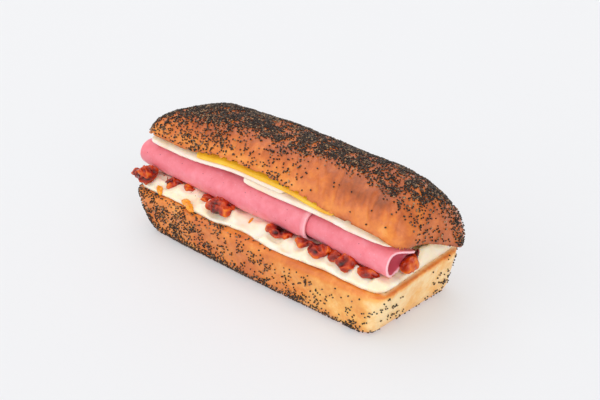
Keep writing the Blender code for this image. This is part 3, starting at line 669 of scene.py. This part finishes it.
def rim_of(node):
    """The solid's faces as a tree, which of them lie on the cut, and the lip as a tree."""
    shell = bmesh.new()
    shell.from_mesh(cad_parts[node].data)
    bmesh.ops.remove_doubles(shell, verts=shell.verts, dist=WELD)
    shell.faces.ensure_lookup_table()
    rim = {e for e in shell.edges
           if e.calc_face_angle() > LIP_TURN and e.calc_length() > LIP_SHORTEST * MM}
    first = max(shell.faces, key=lambda f: f.normal.dot(CUT_FACING) * f.calc_area())
    found = {first}
    ahead = [first]
    while ahead:
        for edge in ahead.pop().edges:
            if edge not in rim:
                for face in edge.link_faces:
                    if face not in found:
                        found.add(face)
                        ahead.append(face)
    on_cut = np.array([face in found for face in shell.faces])
    lip = [e for e in rim if len({face in found for face in e.link_faces}) == 2]
    spots = [e.verts[0].co.lerp(e.verts[1].co, t / LIP_SPOTS)
             for e in lip for t in range(LIP_SPOTS)]
    lip_tree = KDTree(len(spots))
    for i, spot in enumerate(spots):
        lip_tree.insert(spot, i)
    lip_tree.balance()
    tree_of_faces = BVHTree.FromBMesh(shell)
    shell.free()
    return tree_of_faces, on_cut, lip_tree


face_tree, on_cut, lip_tree = rim_of("top_bun")


def lip_distance(points):
    """How far each point is from the lip, in mm."""
    return np.array([lip_tree.find(Vector(p * MM))[2] for p in points]) / MM


def crust_only(points):
    """1 where the nearest face of the solid is crust, 0 where it is the cut face."""
    return 1.0 - np.array([float(on_cut[face_tree.find_nearest(Vector(p * MM))[2]])
                           for p in points])


def onto_lip(points):
    """Draw the nearest points onto the lip, so the knife's edge stays even and crisp."""
    free = np.ones(len(points))
    for i, point in enumerate(points):
        spot, _, far = lip_tree.find(Vector(point * MM))
        if far < LIP_CATCH * MM:
            points[i] = np.array(spot) / MM
        free[i] = ease(1.0, 6.0, far / MM)
    return points, free


upper = even_skin("roll_upper_half", "top_bun", UPPER_SKIN, rounds=16, settle=onto_lip,
                  crease=1.0)
points = spread_points(upper)
normals = point_normals(upper)
from_lip = lip_distance(points)
upper_cut = (1.0 - crust_only(points)) * ease(1.2, 2.2, from_lip)
upper_crust = 1.0 - upper_cut
# The crust swells unevenly, and its bare front is finely wrinkled, up and down the roll.
front = ease(-4.0, -12.0, points[:, 1]) * upper_crust
swell = 0.7 * wander(points, 18.0, 61) + 0.48 * wander(points, (6.0, 9.0, 9.0), 62)
slanted = points + points[:, 2:] * (0.45, 0.0, 0.0)
wrinkle = 1.0 - np.abs(wander(slanted, (4.2, 12.0, 12.0), 63)) * 2.4
wrinkle = np.clip(wrinkle, 0.0, 1.0) * ease(4.0, 9.0, from_lip) * front
# The crown sank left of the middle and rose a little near the left end.
dip = 0.6 * ease(35.0, 15.0, points[:, 0]) + 1.8 * np.exp(-((points[:, 0] + 43.0) / 14.0) ** 2)
dip -= 1.5 * np.exp(-((points[:, 0] + 74.0) / 10.0) ** 2)
swell -= dip * ease(62.0, 73.0, points[:, 2])
swell += 0.60 * wrinkle
points += normals * (swell * upper_crust * ease(0.0, 3.0, from_lip))[:, None]
crumb = 0.4 * wander(points, 2.8, 64) * upper_cut * ease(1.5, 5.0, from_lip)
points += normals * crumb[:, None]
# The front lip curls up over the middle of the filling; at both ends crumb hangs below it.
lift = ease(9.0, 0.0, from_lip) * ease(-8.0, -14.0, points[:, 1])
points[:, 2] += 1.3 * lift * ease(-58.0, -40.0, points[:, 0]) * ease(60.0, 30.0, points[:, 0])
hang = ease(-15.0, -20.0, points[:, 1]) * ease(1.0, 4.0, from_lip) * upper_cut
hang *= ease(-50.0, -56.0, points[:, 0]) + ease(52.0, 60.0, points[:, 0])
points[:, 2] -= 1.8 * hang
place_points(upper, points)
# The crust is browner on the crown, in a band along the front, and right at the lip.
# Along the wrinkles it is painted darker, as painted shade, and between them lighter, as
# painted highlight.
x, y = points[:, 0], points[:, 1]
height = y + 2.5 * wander(points, 11.0, 65)
band = ease(-23.0, -15.0, height) * ease(-2.0, -12.0, height)
# The wrinkle term is painted shade along the wrinkles and painted highlight between them.
upper_bake_and_shade = 0.50 + 0.18 * band + 0.22 * ease(-12.0, 0.0, height) + 0.14 * (wrinkle - 0.4)
upper_bake_and_shade += 0.09 * ease(25.0, 60.0, x) - 0.12 * ease(80.0, 95.0, x)
upper_bake_and_shade += 0.10 * ease(3.0, 0.5, from_lip)
mark(upper, "bake_and_shade", upper_bake_and_shade)
mark(upper, "cut", upper_cut)
upper.data.materials.append(crust_finish)
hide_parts("top_bun")
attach(upper, "root")

# The front edge of the dipped crown, as places along and across the roll, mm.
CROWN_EDGE = [(-100, -19), (-78, -18), (-58, -15.5), (-38, -12), (2, -12.5), (10, -15),
              (20, -13), (30, -10), (62, -9.5), (76, -11), (92, -14), (102, -14)]


def upper_seeds(middle, normal):
    """Seeds per square mm on the upper crust."""
    x, y, z = middle.T
    wave = wander(middle, (7.5, 12.0, 12.0), 71)
    fine = wander(middle, 3.0, 72)
    curl = ease(0.34, 0.10, np.abs(wander(middle, 4.5, 74)))
    edge = np.interp(x, [p[0] for p in CROWN_EDGE], [p[1] for p in CROWN_EDGE])
    inside = y - edge - 4.0 * wave - 1.6 * fine
    crown = ease(-2.0, 5.0, inside)
    filled = wave + 0.7 * fine + 0.30 * ease(10.0, -50.0, x) - 0.10 * ease(45.0, 70.0, x)
    amount = 3.0 * crown * (0.14 + 0.86 * ease(-0.22, 0.12, filled))
    clump = ease(-0.25, 0.35, wander(middle, (9.0, 6.0, 5.0), 73))
    skirt = 0.22 + 1.9 * clump * (0.25 + 0.75 * curl) * (0.4 + 0.6 * ease(-0.3, 0.3, fine))
    skirt *= 0.04 + 0.96 * ease(42.0, 2.0, x)
    amount += skirt * (1.0 - crown) * (0.45 + 0.55 * ease(0.0, -55.0, x))
    amount += 0.25 * ease(-86.0, -96.0, x)
    nose = ease(70.0, 80.0, x) * ease(65.0, 59.0, z) * ease(30.0, 20.0, y)
    amount *= 1.0 - 0.92 * nose
    behind = ease(24.0, 36.0, y + 2.0 * wave)
    amount *= 1.0 - 0.78 * behind
    return amount * ease(0.5, 1.5, lip_distance(middle)) * crust_only(middle)


sow("poppy_seed_upper", upper, upper_seeds, spacing=0.58, pile=0.45,
    draw=np.random.default_rng(6), node="top_bun")

# ------------------------------------------------------ floor, light, camera
# A white board, faintly lit from below, in a light tent with three broad soft lights: one
# overhead, one in front and one at the right. The camera looks down on the right front.

BOARD_SIZE = 6.0          # metres
BOARD_GLOW = 0.365
TENT_GLOW = 0.72
LIGHTS = (                # name, place, how wide it looks in degrees, power
    ("light_above", (-0.45, 0.15, 1.2), 60.0, 0.76),
    ("light_left", (-0.35, -1.1, 0.6), 50.0, 0.66),
    ("light_right", (1.1, -0.45, 0.55), 50.0, 0.82))

bpy.ops.object.select_all(action="DESELECT")
bpy.ops.mesh.primitive_plane_add(size=BOARD_SIZE, location=(0.0, 0.0, 0.0))
floor = bpy.context.active_object
floor.name = "table_top"
# White board of a light table: matt, even and slightly grey, with a faint light of its own.
floor_finish, tree, shader = finish_named("white_board")[:3]
set_shader(shader, Base_Color=tint("#B2B3B5"), Roughness=0.6, Emission_Color=tint("#FDFDFF"),
           Emission_Strength=BOARD_GLOW)
floor.data.materials.append(floor_finish)

world = bpy.data.worlds.new("light_tent")
bpy.context.scene.world = world
world.use_nodes = True
world.node_tree.nodes["Background"].inputs["Color"].default_value = tint("#FFFFFF")
world.node_tree.nodes["Background"].inputs["Strength"].default_value = TENT_GLOW

for name, place, spread, power in LIGHTS:
    lamp = bpy.data.lights.new(name, "SUN")
    lamp.angle = math.radians(spread)
    lamp.energy = power
    holder = bpy.data.objects.new(name, lamp)
    bpy.context.scene.collection.objects.link(holder)
    holder.location = place
    holder.rotation_euler = (-Vector(place)).to_track_quat("-Z", "Y").to_euler()

VIEW_TURN = math.radians(44.5)
VIEW_RISE = math.radians(26.3)
VIEW_TARGET = Vector((-5.04, 13.57, 30.0)) * MM
VIEW_DISTANCE = 726.74 * MM
LENS = 75.0               # focal length, mm
FILM_WIDTH = 36.0         # mm
ahead = Vector((-math.sin(VIEW_TURN) * math.cos(VIEW_RISE),
                math.cos(VIEW_TURN) * math.cos(VIEW_RISE), -math.sin(VIEW_RISE)))
lens = bpy.data.cameras.new("camera")
lens.lens = LENS
lens.sensor_width = FILM_WIDTH
camera = bpy.data.objects.new("camera", lens)
bpy.context.scene.collection.objects.link(camera)
camera.location = VIEW_TARGET - ahead * VIEW_DISTANCE
camera.rotation_euler = ahead.to_track_quat("-Z", "Y").to_euler()
bpy.context.scene.camera = camera
